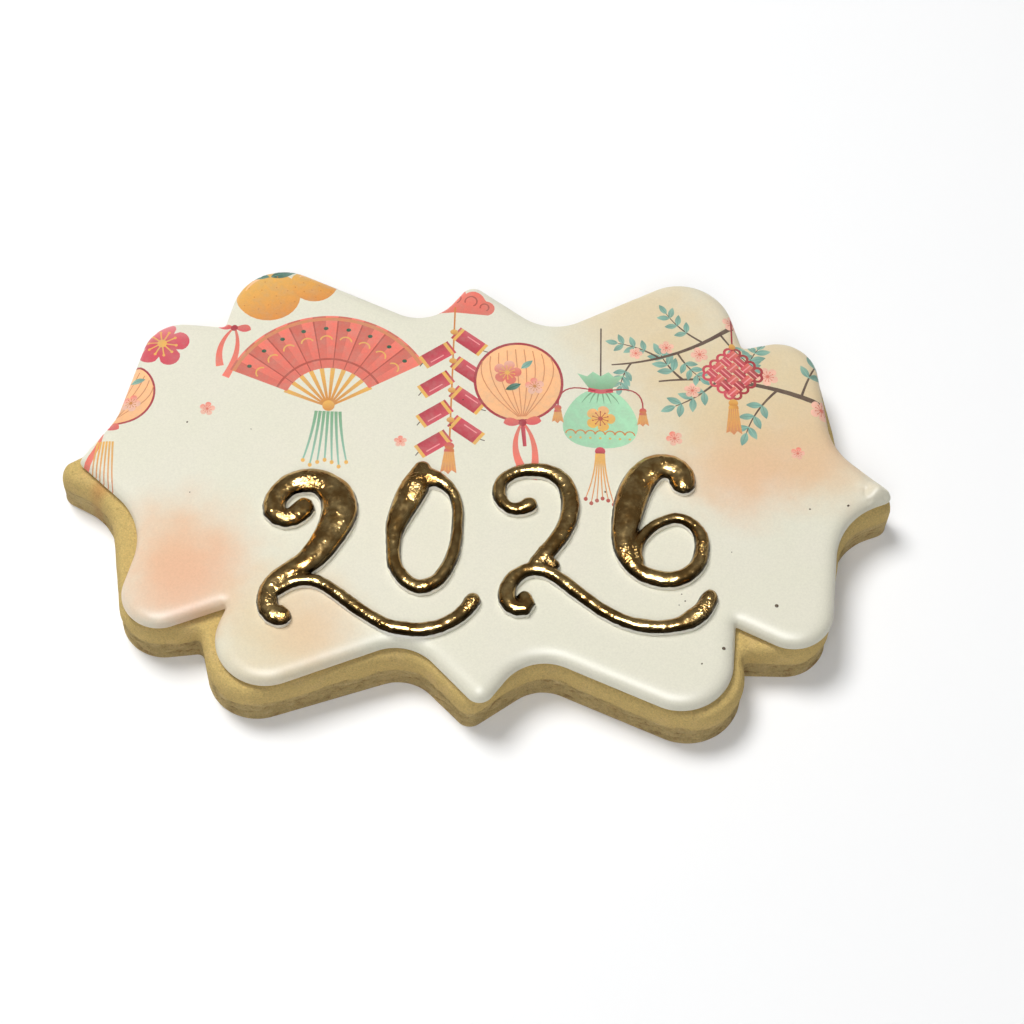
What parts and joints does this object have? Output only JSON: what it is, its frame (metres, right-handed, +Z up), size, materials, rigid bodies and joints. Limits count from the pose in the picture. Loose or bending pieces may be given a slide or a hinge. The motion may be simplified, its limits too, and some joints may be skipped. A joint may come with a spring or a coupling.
{
  "type": "decorated cookie",
  "caption": "Plaque-shaped sugar biscuit with a layer of cream flooded icing and raised piped gold numerals; lies flat",
  "frame": {"origin": "middle of the biscuit's outline, on its flat foot", "axes": "+X along the biscuit's length to the reader's right, +Y away from the reader of the numerals, +Z up through the icing"},
  "size_m": [0.126, 0.0758, 0.0131],
  "materials": {
    "baked_dough": "matte baked sugar dough, pale golden, fine crumb",
    "icing": "dried flooded icing, cream white, soft sheen",
    "gold": "piped icing painted with bright gold lustre"
  },
  "bodies": {
    "root": {"biscuit": "baked_dough", "icing": "icing", "numeral_2_left": "gold", "numeral_0": "gold", "numeral_2_right": "gold", "numeral_6": "gold"}
  },
  "joints": []
}
